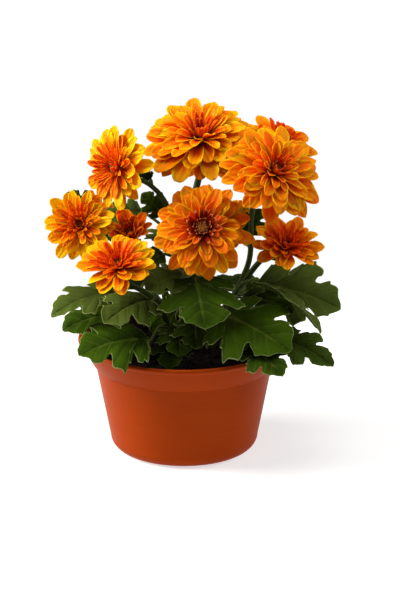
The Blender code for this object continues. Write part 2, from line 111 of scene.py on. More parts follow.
# name: (form, radius, receptacle's foot, azimuth and elevation that it faces,
# degrees added to the rise of each petal)
BLOOMS = {
    "top": ("full", 0.0430, (0.0122, 0.0270, 0.2172), -5, 65, 0),
    "centre": ("full", 0.0345, (0.0134, -0.0340, 0.1698), -2, 35, 0),
    "right_high": ("full", 0.0378, (0.0612, -0.0200, 0.2070), 30, 42, 0),
    "left_high": ("full", 0.0306, (-0.0446, -0.0030, 0.2077), -48, 12, 2),
    "left": ("half", 0.0264, (-0.0726, -0.0050, 0.1658), -8, 28, 12),
    "left_young": ("young", 0.0205, (-0.0385, 0.0080, 0.1552), -5, 48, 0),
    "left_low": ("half", 0.0281, (-0.0444, -0.0460, 0.1465), -16, 60, 10),
    "right_low": ("half", 0.0260, (0.0714, -0.0140, 0.1510), 24, 56, 12),
    "right_back": ("half", 0.0310, (0.0675, 0.0560, 0.2050), 40, 52, -4),
    "back_high": ("half", 0.0300, (0.0130, 0.0690, 0.1990), 176, 32, 0),
    "back_low": ("half", 0.0270, (0.0310, 0.0740, 0.1440), 160, 30, 0),
    "back_left": ("half", 0.0270, (-0.0600, 0.0540, 0.1450), 235, 32, 0),
}
# The receptacle under the petals: (base, top, height, eye height), as shares of the bloom's radius
RECEPTACLE = {
    "full": (0.21, 0.120, 0.27, 0.09),
    "half": (0.22, 0.130, 0.20, 0.11),
    "young": (0.26, 0.150, 0.22, 0.14),
}

# Whorls of ray florets, from the outermost in: (florets, length, width, root radius, root height,
# rise, bend, cup, blush, gilt, quill). Lengths are shares of the bloom's radius, rise and bend are
# in degrees and cup in radians. Blush reddens a floret and deepens the painted shade at its root, gilt
# makes it golden, and quill makes it dark with a pale mouth.
WHORLS = {
    "open": (
        (15, 0.92, 0.34, 0.10, 0.06, 2, -14, 0.40, 0.00, 1.00, 0.0),
        (14, 0.86, 0.33, 0.10, 0.08, 10, -20, 0.45, 0.05, 0.95, 0.0),
        (13, 0.77, 0.30, 0.10, 0.10, 18, -24, 0.55, 0.15, 0.90, 0.0),
        (12, 0.66, 0.27, 0.10, 0.12, 27, -26, 0.65, 0.30, 0.85, 0.0),
        (11, 0.53, 0.21, 0.10, 0.14, 35, -24, 0.85, 0.65, 0.80, 0.0),
        (11, 0.42, 0.15, 0.10, 0.16, 41, -14, 1.05, 1.10, 0.55, 0.1),
        (15, 0.34, 0.09, 0.11, 0.17, 47, -2, 1.35, 1.15, 0.35, 0.95),
        (15, 0.21, 0.065, 0.10, 0.19, 62, 10, 1.50, 1.00, 0.20, 1.0),
    ),
    "shut": (
        (15, 0.92, 0.34, 0.10, 0.06, 2, -14, 0.40, 0.00, 1.00, 0.0),
        (14, 0.86, 0.33, 0.10, 0.08, 10, -20, 0.45, 0.05, 1.00, 0.0),
        (13, 0.77, 0.30, 0.10, 0.10, 18, -24, 0.55, 0.15, 1.00, 0.0),
        (12, 0.66, 0.26, 0.10, 0.12, 27, -26, 0.70, 0.30, 1.00, 0.0),
        (11, 0.54, 0.21, 0.10, 0.14, 36, -22, 0.90, 0.45, 1.05, 0.0),
        (9, 0.43, 0.17, 0.10, 0.16, 47, -8, 1.10, 0.60, 1.05, 0.0),
        (10, 0.35, 0.10, 0.09, 0.17, 60, 6, 1.35, 1.10, 0.35, 0.1),
        (11, 0.27, 0.06, 0.07, 0.18, 72, 16, 1.50, 1.20, 0.20, 0.5),
    ),
    "two_coloured": (
        (12, 0.93, 0.38, 0.11, 0.05, 4, -10, 0.45, -0.15, 1.60, 0.0),
        (12, 0.84, 0.34, 0.11, 0.07, 12, -14, 0.60, 0.00, 1.45, 0.0),
        (13, 0.68, 0.20, 0.11, 0.09, 25, -12, 0.80, 0.65, 0.80, 0.0),
        (15, 0.56, 0.13, 0.11, 0.11, 36, -6, 1.10, 0.95, 0.50, 0.0),
        (16, 0.44, 0.09, 0.10, 0.13, 47, 4, 1.30, 1.05, 0.35, 0.0),
        (14, 0.31, 0.06, 0.09, 0.15, 60, 16, 1.45, 1.10, 0.20, 0.4),
    ),
    "young": (
        (9, 0.86, 0.42, 0.13, 0.05, 32, 14, 0.90, 0.45, 0.80, 0.0),
        (9, 0.74, 0.34, 0.13, 0.07, 44, 14, 1.00, 0.65, 0.60, 0.0),
        (10, 0.58, 0.22, 0.13, 0.09, 54, 14, 1.15, 0.85, 0.45, 0.0),
        (11, 0.44, 0.12, 0.12, 0.12, 64, 16, 1.35, 0.95, 0.35, 0.3),
    ),
}
# Each bloom's own look: (whorls, blush added, gilt added, darkness of the heart and of the painted root
# shade, how far the eye stands below its solid as a share of the bloom's radius, seed)
LOOKS = {
    "top": ("shut", -0.02, 0.10, 0.60, 0.10, 2100),
    "centre": ("open", 0.10, -0.10, 1.00, 0.03, 901),
    "right_high": ("shut", 0.05, 0.00, 0.60, 0.09, 2),
    "left_high": ("two_coloured", 0.05, 0.10, 0.10, 0.10, 703),
    "left": ("two_coloured", -0.20, 0.20, 0.00, 0.04, 4),
    "left_young": ("young", 0.05, 0.05, 0.10, 0.06, 905),
    "left_low": ("two_coloured", 0.15, -0.20, 0.30, 0.04, 1806),
    "right_low": ("two_coloured", 0.15, -0.40, 0.20, 0.05, 2407),
    "right_back": ("two_coloured", 0.35, -0.60, 0.50, 0.05, 8),
    "back_high": ("two_coloured", 0.10, -0.30, 0.40, 0.05, 9),
    "back_low": ("two_coloured", 0.10, -0.30, 0.40, 0.05, 10),
    "back_left": ("two_coloured", 0.10, -0.20, 0.40, 0.05, 11),
}
# Tube florets in the eye
EYE_FLORETS = {"full": 46, "half": 34, "young": 22}
# Rings of bracts on a calyx: (bracts, length, root radius, root height, rise in degrees), as shares of
# the calyx's base, or of its depth for the root height
BRACTS = ((10, 0.95, 0.62, -0.72, 48), (11, 0.80, 0.86, -0.40, 40))

# shoot: (main stem's route from the soil up, {bloom: its stem's route, from where it forks})
SHOOTS = {
    "shoot_centre": (
        ((0.003, -0.006, 0.088), (0.002, -0.006, 0.118), (0.001, -0.002, 0.148)),
        {
            "top": ((0.001, -0.002, 0.146), (0.005, 0.008, 0.171), (0.011, 0.019, 0.194)),
            "centre": ((0.002, -0.005, 0.128), (0.009, -0.014, 0.151)),
            "left_high": (
                (0.001, -0.002, 0.144),
                (-0.012, 0.008, 0.177),
                (-0.0225, 0.008, 0.191),
                (-0.034, 0.005, 0.199),
            ),
        },
    ),
    "shoot_left": (
        ((-0.012, -0.003, 0.088), (-0.015, -0.007, 0.102), (-0.0175, -0.012, 0.112)),
        {
            "left_low": ((-0.0170, -0.011, 0.110), (-0.028, -0.020, 0.122), (-0.040, -0.033, 0.132)),
            "left_young": ((-0.0150, -0.007, 0.102), (-0.026, 0.004, 0.124), (-0.035, 0.011, 0.141)),
            "left": ((-0.0265, 0.004, 0.125), (-0.047, 0.007, 0.143), (-0.064, 0.006, 0.155)),
        },
    ),
    "shoot_right": (
        ((0.019, 0.000, 0.088), (0.029, -0.001, 0.104), (0.040, -0.001, 0.119)),
        {
            "right_low": ((0.039, -0.001, 0.118), (0.0557, -0.006, 0.1415)),
            "right_high": (
                (0.035, -0.001, 0.112),
                (0.0465, 0.004, 0.138),
                (0.048, 0.004, 0.172),
                (0.0525, -0.003, 0.192),
            ),
            "right_back": ((0.048, 0.0038, 0.170), (0.051, 0.024, 0.183), (0.055, 0.046, 0.193)),
        },
    ),
    "shoot_back": (
        ((-0.001, 0.015, 0.088), (-0.002, 0.022, 0.106), (-0.003, 0.028, 0.124)),
        {
            "back_high": ((-0.003, 0.028, 0.122), (0.0035, 0.036, 0.150), (0.0075, 0.046, 0.177)),
            "back_low": ((-0.002, 0.024, 0.112), (0.010, 0.044, 0.128)),
            "back_left": ((-0.002, 0.024, 0.114), (-0.026, 0.034, 0.126)),
        },
    ),
}

# Half of a leaf's outline, as shares of its length:
# (along, across, where its vein leaves the rib, strength of a vein that ends here)
LEAF_OUTLINE = (
    (0.000, 0.016, 0.00, 0.0),
    (0.060, 0.026, 0.01, 0.0),
    (0.105, 0.080, 0.02, 0.0),
    (0.115, 0.170, 0.03, 0.0),
    (0.120, 0.250, 0.03, 0.4),
    (0.150, 0.255, 0.04, 0.0),
    (0.185, 0.315, 0.05, 0.0),
    (0.225, 0.368, 0.06, 1.0),
    (0.250, 0.345, 0.07, 0.0),
    (0.290, 0.350, 0.08, 0.0),
    (0.340, 0.348, 0.09, 0.4),
    (0.350, 0.300, 0.10, 0.0),
    (0.345, 0.230, 0.11, 0.0),
    (0.345, 0.180, 0.13, 0.0),
    (0.365, 0.158, 0.15, 0.0),
    (0.390, 0.180, 0.17, 0.0),
    (0.420, 0.260, 0.18, 0.0),
    (0.445, 0.348, 0.19, 0.4),
    (0.475, 0.345, 0.20, 0.0),
    (0.520, 0.400, 0.21, 0.0),
    (0.578, 0.443, 0.22, 1.0),
    (0.600, 0.405, 0.24, 0.0),
    (0.640, 0.385, 0.26, 0.0),
    (0.692, 0.352, 0.28, 0.4),
    (0.690, 0.305, 0.31, 0.0),
    (0.665, 0.250, 0.35, 0.0),
    (0.650, 0.205, 0.39, 0.0),
    (0.665, 0.178, 0.43, 0.0),
    (0.700, 0.190, 0.47, 0.0),
    (0.745, 0.225, 0.51, 0.0),
    (0.798, 0.253, 0.55, 0.5),
    (0.820, 0.225, 0.60, 0.0),
    (0.860, 0.210, 0.65, 0.0),
    (0.908, 0.183, 0.70, 0.4),
    (0.920, 0.145, 0.76, 0.0),
    (0.955, 0.105, 0.82, 0.0),
    (0.990, 0.055, 0.89, 0.0),
    (1.010, 0.000, 0.96, 0.0),
)

# shoot: ((point on the stem, blade's base, tip, arch, roll in degrees, width share), ...)
LEAVES = {
    "shoot_centre": (
        ((0.003, -0.006, 0.120), (0.0070, -0.034, 0.1390), (0.0138, -0.074, 0.1120), 0.004, 0, 1.50),
        ((0.002, -0.006, 0.116), (0.0010, -0.030, 0.1370), (-0.0270, -0.052, 0.1340), 0.003, -25, 1.20),
        ((0.003, -0.006, 0.092), (0.0080, -0.026, 0.1040), (0.0076, -0.055, 0.0910), 0.003, 0, 1.30),
        ((0.003, -0.006, 0.090), (-0.0040, -0.032, 0.0940), (-0.0100, -0.060, 0.0780), 0.003, 0, 1.10),
        ((0.003, -0.006, 0.095), (-0.0054, -0.026, 0.0990), (-0.0018, -0.058, 0.0870), 0.002, 0, 1.15),
        ((0.001, -0.003, 0.146), (-0.0290, 0.023, 0.1680), (-0.0600, 0.030, 0.1600), 0.003, -45, 1.10),
        ((0.002, -0.004, 0.132), (-0.0130, -0.002, 0.1440), (-0.0320, -0.008, 0.1350), 0.003, -40, 1.20),
        ((-0.004, 0.002, 0.158), (-0.0145, 0.018, 0.1665), (-0.0300, 0.022, 0.1820), 0.002, -50, 1.10),
        ((-0.0225, 0.008, 0.190), (-0.0240, 0.013, 0.1940), (-0.0320, 0.016, 0.2050), 0.002, -60, 1.0),
    ),
    "shoot_left": (
        ((-0.0175, -0.012, 0.111), (-0.0440, -0.012, 0.1180), (-0.0930, -0.036, 0.1100), 0.005, -8, 1.0),
        ((-0.0175, -0.012, 0.111), (-0.0215, -0.031, 0.1190), (-0.0545, -0.062, 0.1120), 0.005, -15, 1.15),
        ((-0.0130, -0.005, 0.093), (-0.0225, -0.0495, 0.0960), (-0.0720, -0.068, 0.0905), 0.005, -17, 1.38),
        ((-0.0140, -0.006, 0.098), (-0.0400, 0.002, 0.0980), (-0.0860, -0.014, 0.0920), 0.004, -20, 1.10),
        ((-0.0440, 0.006, 0.141), (-0.0640, 0.021, 0.1630), (-0.0850, 0.029, 0.1800), 0.003, -45, 1.10),
    ),
    "shoot_right": (
        ((0.040, -0.001, 0.119), (0.0500, 0.006, 0.1200), (0.1106, -0.006, 0.1035), 0.006, 38, 1.0),
        ((0.036, -0.001, 0.113), (0.0460, -0.017, 0.1290), (0.0960, -0.048, 0.1010), 0.006, -22, 0.55),
        ((0.030, -0.001, 0.105), (0.0400, -0.012, 0.1150), (0.0770, -0.026, 0.1080), 0.004, 25, 0.95),
        ((0.022, 0.000, 0.093), (0.0225, -0.028, 0.1090), (0.0710, -0.070, 0.0930), 0.006, 25, 1.12),
        ((0.021, 0.000, 0.091), (0.0600, -0.024, 0.0900), (0.1040, -0.046, 0.0745), 0.005, 20, 0.85),
        ((0.021, 0.000, 0.090), (0.0440, -0.052, 0.0920), (0.0680, -0.083, 0.0810), 0.003, 15, 0.95),
        ((0.0475, 0.004, 0.142), (0.0435, 0.010, 0.1540), (0.0550, 0.014, 0.1730), 0.002, 50, 1.0),
    ),
    "shoot_back": (
        ((-0.002, 0.020, 0.100), (0.0400, 0.022, 0.1060), (0.0960, 0.040, 0.1000), 0.006, 0, 1.1),
        ((-0.002, 0.020, 0.100), (0.0260, 0.042, 0.1020), (0.0740, 0.078, 0.0900), 0.006, 5, 1.15),
        ((-0.002, 0.021, 0.104), (0.0120, 0.052, 0.1020), (0.0300, 0.106, 0.0880), 0.006, 0, 1.15),
        ((-0.002, 0.021, 0.104), (-0.0110, 0.054, 0.1040), (-0.0220, 0.110, 0.0900), 0.006, 0, 1.15),
        ((-0.002, 0.020, 0.100), (-0.0300, 0.046, 0.1020), (-0.0680, 0.084, 0.0900), 0.006, -5, 1.15),
        ((-0.002, 0.019, 0.098), (-0.0400, 0.028, 0.1000), (-0.0880, 0.044, 0.0960), 0.005, 0, 1.1),
        ((-0.003, 0.028, 0.122), (-0.0120, 0.060, 0.1300), (-0.0160, 0.104, 0.1260), 0.008, 0, 1.1),
        ((-0.001, 0.018, 0.094), (-0.0030, 0.020, 0.0960), (-0.0370, 0.018, 0.0920), 0.002, -62, 1.10),
    ),
}

# How strongly a leaf is painted pale and grey as a painted sheen, where it isn't plain green: (shoot, place
# in its list)
SHEEN_PAINTED_LEAVES = {
    ("shoot_centre", 1): 0.8,
    ("shoot_centre", 5): 0.4,
    ("shoot_left", 0): 0.7,
    ("shoot_left", 1): 0.8,
    ("shoot_right", 0): 0.7,
    ("shoot_right", 1): 1.0,
    ("shoot_right", 4): 0.3,
    ("shoot_back", 6): 0.5,
}
# Colours, as linear red, green and blue
PETAL_ORANGE = (0.84, 0.110, 0.0004)
PETAL_GOLD = (1.0, 0.44, 0.0010)
PETAL_RED = (0.84, 0.060, 0.0004)
PETAL_CRIMSON = (0.52, 0.028, 0.0004)
PETAL_HEM = (1.0, 0.58, 0.0020)
PETAL_ROOT_SHADE = (0.12, 0.003, 0.0004)
PETAL_REVERSE = (0.85, 0.24, 0.002)
QUILL_DARK = (0.12, 0.003, 0.0006)
QUILL_MOUTH = (0.85, 0.27, 0.08)
EYE_ORANGE = (0.42, 0.110, 0.003)
EYE_RED = (0.070, 0.004, 0.001)
EYE_OLIVE = (0.17, 0.15, 0.008)
EYE_MOUTH = (0.55, 0.17, 0.03)
EYE_SHADE = (0.03, 0.002, 0.001)
LEAF_BASE_SHADE = (0.0024, 0.0060, 0.0001)
LEAF_GREEN = (0.033, 0.072, 0.0004)
LEAF_PAINTED_SHEEN = (0.085, 0.118, 0.020)
LEAF_NET = (0.04, 0.065, 0.003)
LEAF_VEIN = (0.12, 0.165, 0.020)
LEAF_MARGIN = (0.30, 0.36, 0.12)
LEAF_REVERSE = (0.065, 0.09, 0.022)
LEAF_GRAIN = (0.05, 0.080, 0.008)
STEM_DARK = (0.014, 0.030, 0.002)
STEM_GREEN = (0.040, 0.065, 0.006)
STEM_RIB_AND_HIGHLIGHT = (0.14, 0.18, 0.06)
POT_RUST = (0.275, 0.031, 0.0008)
POT_ORANGE = (0.325, 0.039, 0.0014)
POT_STREAK = (0.235, 0.024, 0.0006)
POT_INSIDE_SHADE = (0.022, 0.005, 0.0010)
PEAT_BLACK = (0.0015, 0.0012, 0.0008)
PEAT_BROWN = (0.011, 0.007, 0.004)
PAPER_LOW = (0.48, 0.48, 0.48)
PAPER_HIGH = (0.52, 0.52, 0.52)

# name: (place, size across, power, colour)
LIGHTS = {
    "key": ((-1.60, 0.05, 1.15), 1.1, 72.0, (1.0, 0.98, 0.94)),
    "fill": ((1.50, 0.10, 0.95), 0.8, 13.0, (1.0, 1.0, 1.0)),
    "over": ((0.0, -0.10, 1.6), 1.0, 11.0, (1.0, 1.0, 1.0)),
}
LIGHTS_AIM = (0, 0, 0.12)


class Wire:
    """A shader socket that takes part in plain arithmetic: each operation adds a Math node."""

    def __init__(self, finish, socket):
        self.finish = finish
        self.socket = socket

    def __add__(self, other):
        return self.finish.math("ADD", self, other)

    def __sub__(self, other):
        return self.finish.math("SUBTRACT", self, other)

    def __rsub__(self, other):
        return self.finish.math("SUBTRACT", other, self)

    def __mul__(self, other):
        return self.finish.math("MULTIPLY", self, other)

    def __pow__(self, other):
        return self.finish.math("POWER", self, other)

    __radd__ = __add__
    __rmul__ = __mul__


class Finish:
    """A procedural material on the Principled shader, with its fixed socket values."""

    def __init__(self, name, constants):
        self.material = bpy.data.materials.new(name)
        self.material.use_nodes = True
        self.tree = self.material.node_tree
        self.shader = self.tree.nodes["Principled BSDF"]
        for socket, value in constants.items():
            self.shader.inputs[socket].default_value = value

    def node(self, kind, settings, inputs, output=0):
        """Any node: its settings first, then the values or links of its sockets."""
        node = self.tree.nodes.new(kind)
        for name, value in settings.items():
            setattr(node, name, value)
        for socket, value in inputs.items():
            self.feed(node.inputs[socket], value)
        return Wire(self, node.outputs[output])

    def feed(self, socket, value):
        """Links a wire to a socket, or sets the socket's own number or colour."""
        if isinstance(value, Wire):
            self.tree.links.new(value.socket, socket)
        elif isinstance(value, tuple) and len(value) == 3 and socket.type == "RGBA":
            socket.default_value = (*value, 1.0)
        else:
            socket.default_value = value

    def math(self, operation, *values):
        return self.node("ShaderNodeMath", {"operation": operation}, dict(enumerate(values)))

    def mark(self, name):
        """A value that the mesh holds at each point."""
        return self.node("ShaderNodeAttribute", {"attribute_name": name}, {}, "Fac")

    def place(self):
        """The point's own place, in metres."""
        return self.node("ShaderNodeTexCoord", {}, {}, "Object")

    def vector(self, x, y, z):
        return self.node("ShaderNodeCombineXYZ", {}, {0: x, 1: y, 2: z})

    def noise(self, vector, scale, detail=3.0):
        sockets = {"Vector": vector, "Scale": scale, "Detail": detail}
        return self.node("ShaderNodeTexNoise", {}, sockets, "Fac")

    def smooth(self, value, low, high):
        """0 below low, 1 above high and a soft step between."""
        sockets = {"Value": value, "From Min": low, "From Max": high}
        return self.node("ShaderNodeMapRange", {"interpolation_type": "SMOOTHSTEP"}, sockets)

    def clamp(self, value):
        return self.node("ShaderNodeClamp", {}, {"Value": value})

    def blend(self, first, second, share):
        """A colour between two colours."""
        return self.node("ShaderNodeMix", {"data_type": "RGBA"}, {0: share, 6: first, 7: second}, 2)

    def paint(self, socket, value):
        self.feed(self.shader.inputs[socket], value)

    def relief(self, height, strength, distance):
        sockets = {"Height": height, "Strength": strength, "Distance": distance}
        self.paint("Normal", self.node("ShaderNodeBump", {}, sockets))


def ray_floret_finish():
    """Orange petals, golden at their margins and tips, red at their roots and at the heart of the bloom,
    with painted shade reddening and darkening their roots.
    """
    constants = {
        "Roughness": 0.55,
        "Specular IOR Level": 0.04,
        "Subsurface Weight": 0.5,
        "Subsurface Scale": 0.003,
    }
    finish = Finish("ray_florets", constants)
    along, across = finish.mark("along"), finish.mark("across")
    blush, gilt, quill = finish.mark("blush"), finish.mark("gilt"), finish.mark("quill")
    tint, face, heart = finish.mark("tint"), finish.mark("face"), finish.mark("heart")
    side = finish.math("ABSOLUTE", across)
    hem = finish.smooth(side, 0.80, 0.97)
    rim = finish.smooth(side, 0.25, 0.95)
    tip = finish.smooth(along, 0.50, 1.0)
    root = 1 - finish.smooth(along, 0.10, 0.70)
    streaks = finish.noise(finish.vector(across * 3.2, along * 0.9, tint * 60.0), 1.0, 3.0)
    cells = finish.noise(finish.vector(across * 22.0, along * 5.0, tint * 90.0), 1.0, 2.0)
    rich = finish.clamp(gilt - 1.0)
    golden = finish.clamp(
        gilt * (rim * 0.22 + tip * 0.42) + rich * 0.5 + (tint - 0.5) * 0.30 + (streaks - 0.5) * 0.5
    )
    colour = finish.blend(PETAL_ORANGE, PETAL_GOLD, golden)
    # Red towards the root: the florets' own red base, and partly painted shade for their hidden roots
    red = finish.clamp(root * 0.90 + blush * 0.70 - golden * 0.30 - 0.14 + (0.5 - streaks) * 0.6)
    colour = finish.blend(colour, finish.blend(PETAL_RED, PETAL_CRIMSON, heart), red)
    colour = finish.blend(colour, PETAL_HEM, hem * gilt * (1 - quill) * (0.30 + along * 0.60))
    # Painted shade: the florets' roots, hidden under the whorls above, are painted dark red-brown, more so
    # with blush and a darker heart
    painted_root_shade = (1 - finish.smooth(along, 0.05, 0.48)) * finish.clamp(blush * 0.6 + 0.45)
    colour = finish.blend(colour, PETAL_ROOT_SHADE, painted_root_shade * (0.35 + heart * 0.65))
    colour = finish.blend(colour, QUILL_DARK, quill * 0.90)
    colour = finish.blend(colour, QUILL_MOUTH, quill * finish.smooth(along, 0.80, 0.98) * 0.8)
    colour = finish.blend(colour, PETAL_REVERSE, (1 - face) * 0.35 * (1 - quill))
    finish.paint("Base Color", colour)
    grooves = finish.math("COSINE", across * 9.4) * 0.5
    finish.relief(grooves + cells * 0.5, 0.55, 0.0007)
    return finish.material


def disc_floret_finish():
    """Close-set tube florets, dark red around the rim, greenish orange in the middle, with pale mouths."""
    finish = Finish("disc_florets", {"Roughness": 0.65, "Specular IOR Level": 0.15})
    ring, tip, tint = finish.mark("ring"), finish.mark("tip"), finish.mark("tint")
    colour = finish.blend(EYE_ORANGE, EYE_RED, finish.smooth(ring, 0.35, 0.80))
    colour = finish.blend(colour, EYE_OLIVE, (1 - finish.smooth(ring, 0.0, 0.5)) * 0.6)
    colour = finish.blend(colour, EYE_MOUTH, finish.smooth(tip, 0.80, 1.0) * tint * 0.8)
    mottle = finish.noise(finish.place(), 900.0)
    colour = finish.blend(colour, EYE_SHADE, (mottle - 0.4) * 0.6)
    finish.paint("Base Color", colour)
    finish.relief(mottle, 0.4, 0.0003)
    return finish.material


def leaf_finish():
    """Soft matt green blades, painted darker towards their base as painted shade and paler on some as a
    painted sheen, with veins, pale margins and a grey-green reverse.
    """
    finish = Finish("chrysanthemum_leaf", {"Specular IOR Level": 0.03})
    along, across, edge = finish.mark("along"), finish.mark("across"), finish.mark("edge")
    vein, tint = finish.mark("vein"), finish.mark("tint")
    face, pale = finish.mark("face"), finish.mark("pale")
    flat = finish.vector(across, along, tint * 7.0)
    net = finish.node(
        "ShaderNodeTexVoronoi",
        {"feature": "DISTANCE_TO_EDGE"},
        {"Vector": flat, "Scale": 26.0},
        "Distance",
    )
    fine = 1 - finish.smooth(net, 0.0, 0.09)
    mottle = finish.noise(flat, 5.0, 4.0)
    grain = finish.noise(flat, 90.0, 2.0)
    # Painted shade: the blade is painted dark near its base and rib and green out towards its lobes and
    # margin; mottle and tint add random tone
    out_of_painted_shade = finish.smooth(along, -0.10, 0.75) * 0.6 + finish.smooth(edge, 0.2, 1.0) * 0.4
    green = finish.clamp(mottle * 0.7 + tint * 0.3 + out_of_painted_shade * 0.9 - 0.55)
    colour = finish.blend(LEAF_BASE_SHADE, LEAF_GREEN, green)
    # Painted sheen: the listed leaves are painted pale grey-green, more so away from the painted shade at
    # their base
    colour = finish.blend(colour, LEAF_PAINTED_SHEEN, pale * (0.30 + out_of_painted_shade * 0.55))
    colour = finish.blend(colour, LEAF_NET, fine * 0.15)
    colour = finish.blend(colour, LEAF_VEIN, vein * (0.30 + out_of_painted_shade * 0.40))
    colour = finish.blend(colour, LEAF_MARGIN, finish.smooth(edge, 0.968, 0.995) * 0.75)
    colour = finish.blend(colour, LEAF_REVERSE, (1 - face) * 0.70)
    colour = finish.blend(colour, LEAF_GRAIN, (grain - 0.45) * 0.25)
    finish.paint("Base Color", colour)
    finish.paint("Roughness", 0.42 + grain * 0.2)
    finish.relief(grain * 0.25 - fine * 0.5 - vein * 0.8 + mottle * 0.5, 0.6, 0.0009)
    return finish.material


def stem_finish():
    """Green stems and calyxes with paler ribs, their pale lines partly a painted highlight."""
    finish = Finish("chrysanthemum_stem", {"Roughness": 0.55, "Specular IOR Level": 0.12})
    rib, tint = finish.mark("rib"), finish.mark("tint")
    mottle = finish.noise(finish.place(), 160.0)
    colour = finish.blend(STEM_DARK, STEM_GREEN, mottle + tint * 0.3)
    # Paler rib crests: partly the stems' own paler ribs, partly a painted highlight along them
    colour = finish.blend(colour, STEM_RIB_AND_HIGHLIGHT, finish.smooth(rib, 0.55, 1.0) * 0.55)
    finish.paint("Base Color", colour)
    finish.relief(mottle, 0.3, 0.0004)
    return finish.material


def pot_finish():
    """Satin terracotta-coloured plastic with faint moulding streaks, and painted shade darkening the inside
    of its wall.
    """
    finish = Finish("terracotta_plastic", {"Specular IOR Level": 0.03})
    place = finish.place()
    cloud = finish.noise(place, 22.0, 3.0)
    drawn_out = finish.node("ShaderNodeMapping", {}, {"Vector": place, "Scale": (30.0, 30.0, 420.0)})
    streaks = finish.noise(drawn_out, 1.0, 2.0)
    grain = finish.noise(place, 1500.0, 2.0)
    colour = finish.blend(POT_RUST, POT_ORANGE, cloud)
    colour = finish.blend(colour, POT_STREAK, (streaks - 0.35) * 0.5)
    x, y, z = (finish.node("ShaderNodeSeparateXYZ", {}, {0: place}, axis) for axis in range(3))
    radius = (x * x + y * y) ** 0.5
    # A slant through the wall's thickness parts the inside from the outside
    inside = finish.smooth(z * 0.50 + 0.0320 - radius, 0.0, 0.0006)
    below_lip = 1 - finish.smooth(z, 0.076, 0.0825) * 0.7
    # Painted shade: the inside of the wall is painted near black, less so up at the lip
    colour = finish.blend(colour, POT_INSIDE_SHADE, inside * below_lip)
    finish.paint("Base Color", colour)
    finish.paint("Roughness", 0.36 + cloud * 0.10 + grain * 0.06)
    finish.relief(grain * 0.4 + streaks * 0.25, 0.10, 0.0003)
    return finish.material


def mix_finish():
    """Damp peat with brown crumbs."""
    finish = Finish("peat_mix", {"Roughness": 0.92, "Specular IOR Level": 0.1})
    tint, crumb = finish.mark("tint"), finish.noise(finish.place(), 420.0, 4.0)
    finish.paint("Base Color", finish.blend(PEAT_BLACK, PEAT_BROWN, crumb * 0.8 + tint * 0.4 - 0.2))
    finish.relief(crumb, 0.9, 0.0012)
    return finish.material


def put(name, data):
    """A new object in the scene."""
    thing = bpy.data.objects.new(name, data)
    bpy.context.scene.collection.objects.link(thing)
    return thing


class Gather:
    """Closed bodies gathered into one mesh, with named values at each point."""

    def __init__(self, *marks):
        self.points = []
        self.faces = []
        self.marks = {mark: [] for mark in marks}
        self.count = 0

    def add(self, points, faces, **values):
        """Adds a body. Each value is one number for all of its points or one for each."""
        points = np.asarray(points, float).reshape(-1, 3)
        self.points.append(points)
        self.faces.extend([[corner + self.count for corner in face] for face in faces])
        self.count += len(points)
        for mark, kept in self.marks.items():
            value = np.ravel(np.asarray(values.get(mark, 0.0), float))
            kept.append(np.broadcast_to(value, len(points)) if value.size == 1 else value)

    def mesh(self, name):
        mesh = bpy.data.meshes.new(name)
        mesh.from_pydata(np.concatenate(self.points).tolist(), [], self.faces)
        return mesh

    def build(self, name, material, slot, *nodes, matrix=None):
        """Makes the piece with the given finish and hides the CAD nodes that it stands for. The slot is not
        used.
        """
        mesh = self.mesh(name)
        for mark, kept in self.marks.items():
            layer = mesh.attributes.new(mark, "FLOAT", "POINT")
            layer.data.foreach_set("value", np.concatenate(kept).astype(np.float32))
        mesh.shade_smooth()
        piece = put(name, mesh)
        if matrix is not None:
            mesh.transform(matrix)
        mesh.materials.append(material)
        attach(piece, "root")
        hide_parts(*nodes)


# Faces of the shells made so far, by their rows and columns
SHELL_FACES = {}


def shell_faces(rows, columns):
    """Faces of a closed blade: its upper grid, its reverse and the rim that joins them."""
    if (rows, columns) not in SHELL_FACES:
        under = rows * columns
        upper = np.arange(under).reshape(rows, columns)
        corners = [upper[:-1, :-1], upper[:-1, 1:], upper[1:, 1:], upper[1:, :-1]]
        quads = np.stack(corners, -1).reshape(-1, 4)
        faces = quads.tolist() + (quads[:, ::-1] + under).tolist()
        loop = [*upper[0, :], *upper[1:, -1], *upper[-1, -2::-1], *upper[-2:0:-1, 0]]
        for here, there in zip(loop, loop[1:] + loop[:1]):
            faces.append([int(there), int(here), int(here) + under, int(there) + under])
        SHELL_FACES[rows, columns] = faces
    return SHELL_FACES[rows, columns]


def grid_normals(grid):
    """Unit normals of a grid of points, on the side from which columns run right as rows run up."""
    normals = np.cross(np.gradient(grid, axis=1), np.gradient(grid, axis=0))
    return normals / np.maximum(np.linalg.norm(normals, axis=2, keepdims=True), 1e-12)


def shell(gather, grid, thickness, **values):
    """Adds the grid as a closed blade of the given thickness at each point."""
    rows, columns, _ = grid.shape
    lift = grid_normals(grid) * np.asarray(thickness)[..., None] / 2
    both = {
        name: np.concatenate([np.ravel(value)] * 2) if np.size(value) > 1 else value
        for name, value in values.items()
    }
    face = np.concatenate([np.ones(rows * columns), np.zeros(rows * columns)])
    points = np.concatenate([(grid + lift).reshape(-1, 3), (grid - lift).reshape(-1, 3)])
    gather.add(points, shell_faces(rows, columns), face=face, **both)


def capped_faces(rings, sides):
    """Faces of rings of points, one after the other, with a point before the first and after the last."""
    faces = []
    for side in range(sides):
        other = (side + 1) % sides
        faces.append([0, 1 + other, 1 + side])
        for ring in range(rings - 1):
            low, high = 1 + ring * sides, 1 + (ring + 1) * sides
            faces.append([low + side, low + other, high + other, high + side])
        base = 1 + (rings - 1) * sides
        faces.append([base + side, base + other, base + sides])
    return faces


